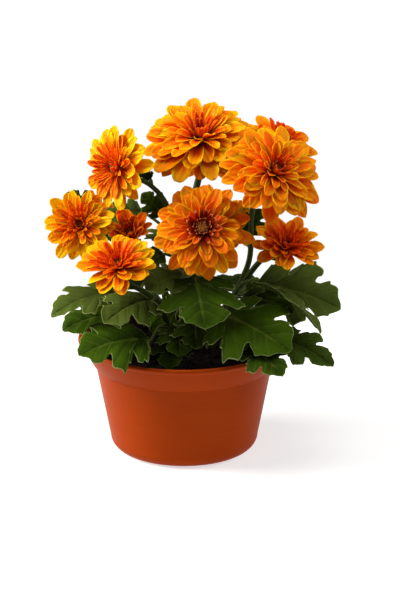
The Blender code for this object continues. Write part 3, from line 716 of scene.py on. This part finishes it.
def revolve(gather, profile, sides, **values):
    """A closed turned body from (radius, height) points that start and end on the axis."""
    inner = profile[1:-1]
    turns = np.linspace(0, math.tau, sides, endpoint=False)
    rings = [
        (radius * math.cos(a), radius * math.sin(a), height) for radius, height in inner for a in turns
    ]
    points = [(0, 0, profile[0][1]), *rings, (0, 0, profile[-1][1])]
    gather.add(points, capped_faces(len(inner), sides), **values)


def bloom_frame(bloom):
    """The bloom's own frame: its foot at the origin, facing +Z, with +Y nearest to upward."""
    _, _, foot, azimuth, elevation, _ = bloom
    around = Matrix.Rotation(math.radians(azimuth), 4, "Z")
    return Matrix.Translation(foot) @ around @ Matrix.Rotation(math.radians(90 - elevation), 4, "X")


def moved(points, matrix):
    return np.array([matrix @ Vector(point) for point in points])


def floret(gather, azimuth, length, width, root_radius, root_height, rise, bend, cup, draw, **values):
    """One ray floret: a blade that widens to a rounded tip, bends, cups and twists a little."""
    rows, columns = QUILL_GRID if values.get("quill", 0) else FLORET_GRID
    share = 1 - (1 - np.linspace(0, 1, rows)) ** 1.35
    u = np.sin(np.linspace(-math.pi / 2, math.pi / 2, columns))
    # The outline, with t from the root to the tip and u from one margin to the other
    notch = draw.uniform(-0.02, 0.03)
    tip_drop = 0.5 * width / length * draw.uniform(1.15, 1.75)
    reach = 1 - tip_drop * (1 - np.sqrt(1 - 0.92 * u**2)) - notch * np.exp(-((u / 0.25) ** 2))
    t = share[:, None] * reach[None, :]
    swell = np.sin(np.clip(t / FLORET_WIDEST, 0, 1) * math.pi / 2) ** 1.1
    beyond = np.clip((t - FLORET_WIDEST) / (1 - FLORET_WIDEST), 0, 1)
    narrow = 1 - draw.uniform(0.15, 0.42) * beyond**2.2
    half_width = width / 2 * (0.34 + 0.66 * swell) * narrow
    # The bend from root to tip and the cup from margin to margin
    slope = np.radians(rise + bend * t + draw.uniform(-10, 6) * t**3)
    run = np.radians(rise + bend * t / 2)
    curl = cup * (0.45 + 0.55 * t)
    sideways = half_width * np.sin(curl * u) / curl
    lift = half_width * (1 - np.cos(curl * u)) / curl
    # The twist, the ruffled margins and the sway to one side
    twist = math.radians(draw.uniform(-10, 10)) + math.radians(draw.uniform(-22, 22)) * t
    ruffle = draw.uniform(0, RIPPLE_PHASES)
    lift = lift + width * 0.035 * np.sin(ruffle + t * 7.0) * u * np.abs(u)
    sway = draw.uniform(-0.07, 0.07) * length * t**2
    across_way = sideways * np.cos(twist) - lift * np.sin(twist) + sway
    lift = sideways * np.sin(twist) + lift * np.cos(twist)
    out = root_radius + length * t * np.cos(run) - lift * np.sin(slope)
    up = root_height + length * t * np.sin(run) + lift * np.cos(slope)
    cosine, sine = math.cos(azimuth), math.sin(azimuth)
    grid = np.stack([out * cosine + across_way * sine, out * sine - across_way * cosine, up], -1)
    thickness = (FLORET_THICKNESS - FLORET_THINNING * u[None, :] ** 2) * (1 - 0.4 * t)
    across = np.broadcast_to(u, t.shape)
    shell(gather, grid, thickness, along=t, across=across, tint=draw.random(), **values)


def make_ray_florets(name, bloom, material):
    """A bloom's ray florets, whorl by whorl, on their receptacle."""
    form, radius, _, _, _, opening = bloom
    whorls, more_blush, more_gilt, heart, _, seed = LOOKS[name]
    draw = random.Random(seed)
    gather = Gather("along", "across", "blush", "gilt", "quill", "tint", "face", "heart")
    base, top, height, _ = (share * radius for share in RECEPTACLE[form])
    profile = [(0, GAP), (base * 0.9, GAP), (base, height * 0.3), (top, height * 0.7), (0, height * 0.7)]
    revolve(gather, profile, RECEPTACLE_SIDES, blush=1.0)
    turn = draw.uniform(0, math.tau)
    for whorl in WHORLS[whorls]:
        count, length, width, root_radius, root_height, rise, bend, cup, blush, gilt, quill = whorl
        for index in range(count):
            floret(
                gather,
                turn + math.tau * (index + draw.uniform(-0.30, 0.30)) / count,
                length * radius * draw.uniform(0.88, 1.06),
                width * radius * draw.uniform(0.85, 1.12),
                root_radius * radius,
                root_height * radius,
                rise + opening + draw.uniform(-7, 7),
                bend + draw.uniform(-9, 9),
                cup * draw.uniform(0.8, 1.2),
                draw,
                blush=blush + more_blush + draw.uniform(-0.15, 0.15),
                gilt=gilt + more_gilt + draw.uniform(-0.2, 0.2),
                quill=quill * heart,
                heart=heart,
            )
        turn += math.pi / count
    frame_of_bloom = bloom_frame(bloom)
    gather.build(name + "_ray_florets", material, "ray_florets", name + "_petals", matrix=frame_of_bloom)


def make_disc_florets(name, bloom, material):
    """The eye: a low dome of close-set tube florets, shorter and closed in the middle."""
    form, radius, _, _, _, _ = bloom
    *_, sunk, seed = LOOKS[name]
    draw = random.Random(seed)
    _, top, height, rise = (share * radius for share in RECEPTACLE[form])
    foot = height - sunk * radius
    gather = Gather("ring", "tip", "tint")
    dome = [(0, foot), (top * 0.85, foot), (top * 0.80, foot + rise * 0.35), (0, foot + rise * 0.6)]
    revolve(gather, dome, EYE_SIDES, ring=1.0)
    count = EYE_FLORETS[form]
    for index in range(count):
        ring = math.sqrt((index + 0.5) / count)
        size = top * (0.11 + 0.05 * ring) * draw.uniform(0.85, 1.15)
        length = rise * (0.38 + 0.5 * ring) * draw.uniform(0.85, 1.15)
        place = (
            Matrix.Rotation(index * GOLDEN_ANGLE, 4, "Z")
            @ Matrix.Translation((top * 0.80 * ring, 0, foot + rise * (0.42 - 0.22 * ring**2)))
            @ Matrix.Rotation(math.radians(30 * ring), 4, "Y")
        )
        profile = [
            (0, -size),
            (size * 0.7, -size * 0.5),
            (size * 0.8, length * 0.5),
            (size * 1.1, length * 0.85),
            (size * 0.6, length),
            (0, length * 0.9),
        ]
        bud = Gather()
        revolve(bud, profile, BUD_SIDES)
        points = bud.points[0]
        tip = np.clip(points[:, 2] / length, 0, 1)
        gather.add(moved(points, place), bud.faces, ring=ring, tip=tip, tint=draw.random())
    frame_of_bloom = bloom_frame(bloom)
    gather.build(name + "_disc_florets", material, "disc_florets", name + "_eye", matrix=frame_of_bloom)


def smooth_route(points, steps):
    """Points along a smooth curve through the given points, steps to each span."""
    points = np.asarray(points, float)
    ends = np.vstack([2 * points[0] - points[1], points, 2 * points[-1] - points[-2]])
    route = []
    for a, b, c, d in zip(ends, ends[1:], ends[2:], ends[3:]):
        for t in np.arange(steps) / steps:
            square = (2 * a - 5 * b + 4 * c - d) * t**2
            route.append(0.5 * (2 * b + (c - a) * t + square + (3 * b - a - 3 * c + d) * t**3))
    route.append(points[-1])
    return np.array(route)


def tube(gather, points, radii, steps=8, sides=18, ribs=6, **values):
    """A ribbed stem through the points, its radius running evenly from the first of radii to the second."""
    route = smooth_route(points, steps)
    ways = np.gradient(route, axis=0)
    ways /= np.linalg.norm(ways, axis=1, keepdims=True)
    side = np.cross(ways[0], OFF_STEM)
    angles = np.linspace(0, math.tau, sides, endpoint=False)
    wave = np.cos(ribs * angles)
    rings = []
    for index, (place, way) in enumerate(zip(route, ways)):
        side = side - way * (side @ way)
        side /= np.linalg.norm(side)
        other = np.cross(way, side)
        share = index / (len(route) - 1)
        radius = (radii[0] + (radii[1] - radii[0]) * share) * (1 + RIB_DEPTH * wave)
        first, second = (radius * np.cos(angles))[:, None], (radius * np.sin(angles))[:, None]
        rings.append(place + first * side + second * other)
    points = np.vstack([route[:1], *rings, route[-1:]])
    rib = np.concatenate([[0.0], np.tile((wave + 1) / 2, len(rings)), [0.0]])
    gather.add(points, capped_faces(len(rings), sides), rib=rib, **values)


def calyx(gather, bloom, draw):
    """The cup of bracts under a bloom. Returns the two points by which its stem enters it."""
    form, radius, _, _, _, _ = bloom
    base = RECEPTACLE[form][0] * radius
    depth = base * 0.95
    neck = NECK_RADIUS * 1.5
    part = Gather("rib")
    profile = [
        (0, -depth),
        (neck, -depth),
        (base * 0.55, -depth * 0.72),
        (base * 0.86, -depth * 0.3),
        (base * 0.9, 0),
        (0, 0),
    ]
    revolve(part, profile, RECEPTACLE_SIDES, rib=0.2)
    for count, length, foot_radius, foot_height, rise in BRACTS:
        turn = draw.uniform(0, math.tau)
        for index in range(count):
            floret(
                part,
                turn + math.tau * (index + draw.uniform(-0.15, 0.15)) / count,
                base * length,
                base * 0.55,
                base * foot_radius * 0.92,
                depth * foot_height,
                rise,
                -8,
                0.8,
                draw,
                rib=0.4,
            )
    frame_of_bloom = bloom_frame(bloom)
    placed = moved(np.concatenate(part.points), frame_of_bloom)
    gather.add(placed, part.faces, rib=np.concatenate(part.marks["rib"]), tint=draw.random())
    before = frame_of_bloom @ Vector((0, 0, -depth - 0.005))
    end = frame_of_bloom @ Vector((0, 0, -depth * 0.5))
    return tuple(before), tuple(end)


def leaf_half(draw):
    """One half of a blade's toothed outline, row by row: along, across, rib, vein."""
    shape = np.array(LEAF_OUTLINE)
    shape[3:-1, 0] += [draw.uniform(-0.008, 0.008) for _ in shape[3:-1]]
    shape[3:-1, 1] += [draw.uniform(-0.012, 0.012) for _ in shape[3:-1]]
    shape[:, 1] *= draw.uniform(0.93, 1.07)
    fine = smooth_route(shape, LEAF_SPAN_STEPS)
    steps = np.linalg.norm(np.diff(fine[:, :2], axis=0), axis=1)
    travelled = np.concatenate([[0], np.cumsum(steps)])
    rows = np.linspace(0, travelled[-1], LEAF_ROWS)
    along, across, rib = (np.interp(rows, travelled, fine[:, k]) for k in range(3))
    vein = np.zeros(LEAF_ROWS)
    for point, end in zip(shape, travelled[::LEAF_SPAN_STEPS]):
        vein = np.maximum(vein, point[3] * np.exp(-(((rows - end) / 0.012) ** 2)))
    return along, np.maximum(across, 0), rib, vein


def leaf(gather, stalks, facts, seed, pale):
    """A stalk and a lobed blade, raised beside its rib, drooping to its lobes and quilted by its veins."""
    stem_point, base, tip, arch, roll, width = facts
    stem_point, base, tip = np.array(stem_point), np.array(base), np.array(tip)
    draw = random.Random(seed)
    length = np.linalg.norm(tip - base)
    chord = (tip - base) / length
    across_way = np.cross(chord, UP)
    across_way /= np.linalg.norm(across_way)
    across_way = np.array(Matrix.Rotation(math.radians(roll), 3, Vector(chord)) @ Vector(across_way))
    normal = np.cross(across_way, chord)
    reach = np.array(LEAF_COLUMNS)[None, :]
    halves = []
    for sign in (-1, 1):
        along, across, rib, lobes = leaf_half(draw)
        x = rib[:, None] + (along - rib)[:, None] * reach
        y = across[:, None] * reach * width
        midrib = np.exp(-((y / 0.010) ** 2)) * (x < 0.93)
        vein = np.maximum(lobes[:, None] * (1 - 0.6 * reach), midrib)
        halves.append((x, y * sign, np.broadcast_to(reach, x.shape), vein))
    # Each row runs from the left margin over the rib to the right margin, seen from above
    joined = (np.concatenate([left[:, :0:-1], right], axis=1) for left, right in zip(*halves))
    along, across, edge, vein = joined
    aside = np.abs(across)
    lift = LEAF_RAISE * aside - LEAF_DROOP * aside**2
    phase = draw.uniform(0, RIPPLE_PHASES)
    lift = lift + 0.016 * np.sin(along * 13 + across * 5 + phase) * edge**2
    lift = lift - 0.012 * vein + 0.008 * np.sin(along * 31 + phase) * np.sin(aside * 29)
    bow = 4 * arch * along * (1 - along)
    curve = draw.uniform(-0.05, 0.05) * along**2
    points = (
        base
        + chord * (along * length)[..., None]
        + across_way * ((across + curve) * length)[..., None]
        + normal * (bow + lift * length)[..., None]
    )
    thickness = LEAF_THICKNESS - LEAF_THINNING * edge + RIB_THICKENING * np.exp(-((across / 0.02) ** 2))
    marks = {"along": along, "across": across, "edge": edge, "vein": vein, "pale": pale}
    shell(gather, points, thickness, tint=draw.random(), **marks)
    inside = base + chord * length * 0.03
    stalk = (stem_point, (stem_point + base) / 2 + UP * STALK_RISE, base, inside)
    tube(stalks, stalk, STALK_RADII, steps=6, sides=10, ribs=5, tint=0.6)


def stem_foot(route):
    """Where a shoot's stem stands, at the bottom of its hole in the mix."""
    x, y, _ = route[0]
    return (x, y, SOIL_EDGE + SOIL_CROWN - HOLE_DEPTH)


def make_shoot(name, seed, leaf_material, stem_material):
    """A shoot's stems, calyxes and stalks as one piece, and its blades as another."""
    route, branches = SHOOTS[name]
    draw = random.Random(seed)
    stems = Gather("rib", "tint")
    blades = Gather("along", "across", "edge", "vein", "tint", "face", "pale")
    tube(stems, (stem_foot(route), *route), (SHOOT_RADIUS, BRANCH_RADIUS))
    for bloom_name, branch in branches.items():
        before, end = calyx(stems, BLOOMS[bloom_name], draw)
        tube(stems, (*branch, before, end), (BRANCH_RADIUS, NECK_RADIUS))
    for index, facts in enumerate(LEAVES[name]):
        leaf(blades, stems, facts, seed * 100 + index, SHEEN_PAINTED_LEAVES.get((name, index), 0.0))
    stems.build(name + "_stems", stem_material, "greenery", name)
    blades.build(name + "_blades", leaf_material, "greenery", name)


def wall_radius(height):
    """Outer radius of the pot's plain wall at a height."""
    share = (height - CORNER) / (BAND_HEIGHT - CORNER)
    return WALL_RADIUS_LOW + share * (WALL_RADIUS_HIGH - WALL_RADIUS_LOW)


def arc(centre, radius, first, last, steps):
    """Points on a circle's arc in a profile, angles in degrees from +radius towards +height."""
    return [
        (centre[0] + radius * math.cos(a), centre[1] + radius * math.sin(a))
        for a in np.radians(np.linspace(first, last, steps))
    ]

def pot_profile():
    """From the middle of the floor up the inside, over the lip and down the band and wall to the foot."""
    lean = (RIM_RADIUS - 0.0015 - WALL_RADIUS_HIGH) / (RIM_HEIGHT - BAND_HEIGHT)
    floor = FOOT_RISE + WALL
    inside = [
        (0.0, floor),
        (FLOOR_RADIUS - 0.0010, floor),
        (FLOOR_RADIUS + 0.0045, floor + 0.0014),
        (WALL_RADIUS_LOW - WALL - 0.0010, CORNER),
        (wall_radius(BAND_HEIGHT) - WALL, BAND_HEIGHT),
        (RIM_RADIUS - 0.0030 - WALL, RIM_HEIGHT - 0.0022),
        (RIM_RADIUS - 0.0036, RIM_HEIGHT - 0.0008),
    ]
    lip = arc((RIM_RADIUS - LIP_RADIUS, RIM_HEIGHT - LIP_RADIUS), LIP_RADIUS, 120, -50, 9)
    band_foot = WALL_RADIUS_HIGH + 0.0012
    band_top = RIM_RADIUS - 0.0018
    outside = [
        (band_top - 0.0001, RIM_HEIGHT - 0.0035),
        (band_top - lean * 0.0020, RIM_HEIGHT - 0.0054),
        (band_top - lean * 0.0025, RIM_HEIGHT - 0.0060),
        (band_foot + lean * 0.0012, BAND_HEIGHT + 0.0012),
        (band_foot - 0.0001, BAND_HEIGHT + 0.0004),
        (band_foot - 0.0006, BAND_HEIGHT),
        (wall_radius(BAND_HEIGHT - 0.0006) + 0.0002, BAND_HEIGHT - 0.0003),
        (wall_radius(BAND_HEIGHT - 0.0012), BAND_HEIGHT - 0.0012),
    ]
    corner = arc((WALL_RADIUS_LOW - CORNER, CORNER), CORNER, 0, -90, 12)
    foot = [(FOOT_RADIUS, 0.0), (FOOT_RADIUS - FOOT_RISE, FOOT_RISE)]
    hub = [(HUB_RADIUS + FOOT_RISE, FOOT_RISE), (HUB_RADIUS, 0.0), (0.0, 0.0)]
    return inside + lip + outside + corner + foot + hub


def turned(name, profile, sides):
    """A solid of revolution about Z from (radius, height) points, as a plain mesh object."""
    mesh = bpy.data.meshes.new(name)
    points = [(radius, 0.0, height) for radius, height in profile]
    mesh.from_pydata(points, [(i, i + 1) for i in range(len(points) - 1)], [])
    solid = put(name, mesh)
    screw = solid.modifiers.new("turn", "SCREW")
    screw.steps = screw.render_steps = sides
    screw.use_merge_vertices = True
    screw.merge_threshold = 1e-5
    return solid


def settle(solid):
    """Applies the object's modifiers, so that it is a plain mesh."""
    bpy.context.view_layer.update()
    mesh = bpy.data.meshes.new_from_object(solid.evaluated_get(bpy.context.evaluated_depsgraph_get()))
    solid.modifiers.clear()
    solid.data = mesh

def make_pot(material):
    """The turned pot, with its drain holes cut."""
    pot = turned("pot_shell", pot_profile(), POT_SIDES)
    drills = Gather()
    for index in range(DRAIN_COUNT):
        angle = math.tau * (index + 0.5) / DRAIN_COUNT
        centre = np.array([DRAIN_CIRCLE * math.cos(angle), DRAIN_CIRCLE * math.sin(angle), 0.0])
        drill = Gather()
        profile = [(0, -WALL), (DRAIN_RADIUS, -WALL), (DRAIN_RADIUS, 3 * WALL), (0, 3 * WALL)]
        revolve(drill, profile, DRILL_SIDES)
        drills.add(drill.points[0] + centre, drill.faces)
    cutter = put("drills", drills.mesh("drills"))
    cut = pot.modifiers.new("drains", "BOOLEAN")
    cut.operation = "DIFFERENCE"
    cut.object = cutter
    settle(pot)
    bpy.data.objects.remove(cutter, do_unlink=True)
    pot.data.shade_smooth()
    pot.data.set_sharp_from_angle(angle=math.radians(40))
    pot.data.materials.append(material)
    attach(pot, "root")
    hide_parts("pot")


def mix_height(radius):
    """Height of the mix's crowned surface, at a distance from the pot's axis."""
    return SOIL_EDGE + SOIL_CROWN * math.cos(min(radius / CROWN_RADIUS, 1) * math.pi / 2)


def crumb_ball():
    """Points and faces of the small ball that each crumb is shaped from."""
    ball = bmesh.new()
    bmesh.ops.create_icosphere(ball, subdivisions=1, radius=1.0)
    points = np.array([corner.co for corner in ball.verts])
    faces = [[corner.index for corner in face.verts] for face in ball.faces]
    ball.free()
    return points, faces


def make_mix(material):
    """Potting mix: a lumpy crowned surface with crumbs pressed into it."""
    low = FOOT_RISE + WALL + GAP
    edge = wall_radius(BAND_HEIGHT) - WALL - 2 * GAP
    radii = [edge * (k / SOIL_RINGS) for k in range(SOIL_RINGS + 1)]
    profile = [(radius, mix_height(radius)) for radius in radii]
    profile += [(edge, BAND_HEIGHT), (WALL_RADIUS_LOW - WALL - 0.0020, CORNER)]
    profile += [(FLOOR_RADIUS - 0.0022, low), (0, low)]
    gather = Gather("tint")
    revolve(gather, profile[::-1], SOIL_SIDES)
    points = gather.points[0]
    draw = np.random.default_rng(5)
    upper = points[:, 2] > SOIL_EDGE - 0.001
    inner = np.hypot(points[:, 0], points[:, 1]) < edge - 0.0008
    shifted = upper * inner
    for axis, free, lump in ((2, upper, LUMP_HEIGHT), (0, shifted, LUMP_SHIFT), (1, shifted, LUMP_SHIFT)):
        points[:, axis] += free * (draw.random(len(points)) - 0.5) * lump
    ball, ball_faces = crumb_ball()
    for _ in range(CRUMBS):
        distance = (edge - 0.0022) * math.sqrt(draw.random())
        angle = draw.random() * math.tau
        size = CRUMB_LEAST + CRUMB_SPREAD * draw.random() ** 2.2
        shape = ball * (0.7 + 0.6 * draw.random((len(ball), 1)))
        shape = shape * (1, 0.6 + 0.6 * draw.random(), 0.5 + 0.4 * draw.random())
        turn = np.array(Matrix.Rotation(draw.random() * math.tau, 3, "Z"))
        height = mix_height(distance) + size * 0.1
        centre = (distance * math.cos(angle), distance * math.sin(angle), height)
        gather.add(shape @ turn.T * size + centre, ball_faces, tint=draw.random())
    gather.build("potting_mix", material, "potting_mix", "soil")


def aim(thing, place, target):
    """Stands a lamp or the camera at its place, facing the target."""
    thing.location = place
    thing.rotation_euler = (Vector(target) - Vector(place)).to_track_quat("-Z", "Y").to_euler()


def make_studio():
    """A pale round floor, white surroundings, a soft key light from the left and two weaker lights."""
    scene = bpy.context.scene
    scene.view_settings.view_transform = "Standard"
    world = bpy.data.worlds.new("studio")
    scene.world = world
    world.use_nodes = True
    nodes, links = world.node_tree.nodes, world.node_tree.links
    background = nodes["Background"]
    background.inputs["Color"].default_value = (1, 1, 1, 1)
    # The backdrop is seen as white and lights the plant only faintly
    path = nodes.new("ShaderNodeLightPath")
    level = nodes.new("ShaderNodeMapRange")
    level.inputs["To Min"].default_value = 0.20
    level.inputs["To Max"].default_value = 1.0
    links.new(path.outputs["Is Camera Ray"], level.inputs["Value"])
    links.new(level.outputs[0], background.inputs["Strength"])
    turns = [math.tau * k / FLOOR_SIDES for k in range(FLOOR_SIDES)]
    rim = [(FLOOR_REACH * math.cos(a), FLOOR_REACH * math.sin(a), 0) for a in turns]
    mesh = bpy.data.meshes.new("studio_floor")
    mesh.from_pydata(rim, [], [list(range(FLOOR_SIDES))])
    floor = put("studio_floor", mesh)
    constants = {"Roughness": 0.9, "Emission Color": (1, 1, 1, 1), "Emission Strength": 0.6}
    paper = Finish("studio_paper", constants)
    paper.paint("Base Color", paper.blend(PAPER_LOW, PAPER_HIGH, paper.noise(paper.place(), 3.0)))
    mesh.materials.append(paper.material)
    for name, (place, size, power, colour) in LIGHTS.items():
        light = bpy.data.lights.new(name, "AREA")
        light.shape = "DISK"
        light.size = size
        light.energy = power
        light.color = colour
        aim(put(name, light), place, LIGHTS_AIM)


def make_camera():
    """The photograph's view, 17.9 degrees above the level, from 1.8 m."""
    camera = bpy.data.cameras.new("camera")
    camera.sensor_fit = "VERTICAL"
    camera.sensor_height = 36.0
    camera.lens = 151.0
    viewer = put("camera", camera)
    aim(viewer, (0.01178, -1.71287, 0.66214), (0.01178, 0.0, 0.1089))
    bpy.context.scene.camera = viewer


def main():
    make_camera()
    make_studio()
    make_pot(pot_finish())
    make_mix(mix_finish())
    leaf_material, stem_material = leaf_finish(), stem_finish()
    for seed, name in enumerate(SHOOTS):
        make_shoot(name, seed + 1, leaf_material, stem_material)
    ray_material, disc_material = ray_floret_finish(), disc_floret_finish()
    for name, bloom in BLOOMS.items():
        make_ray_florets(name, bloom, ray_material)
        make_disc_florets(name, bloom, disc_material)


main()
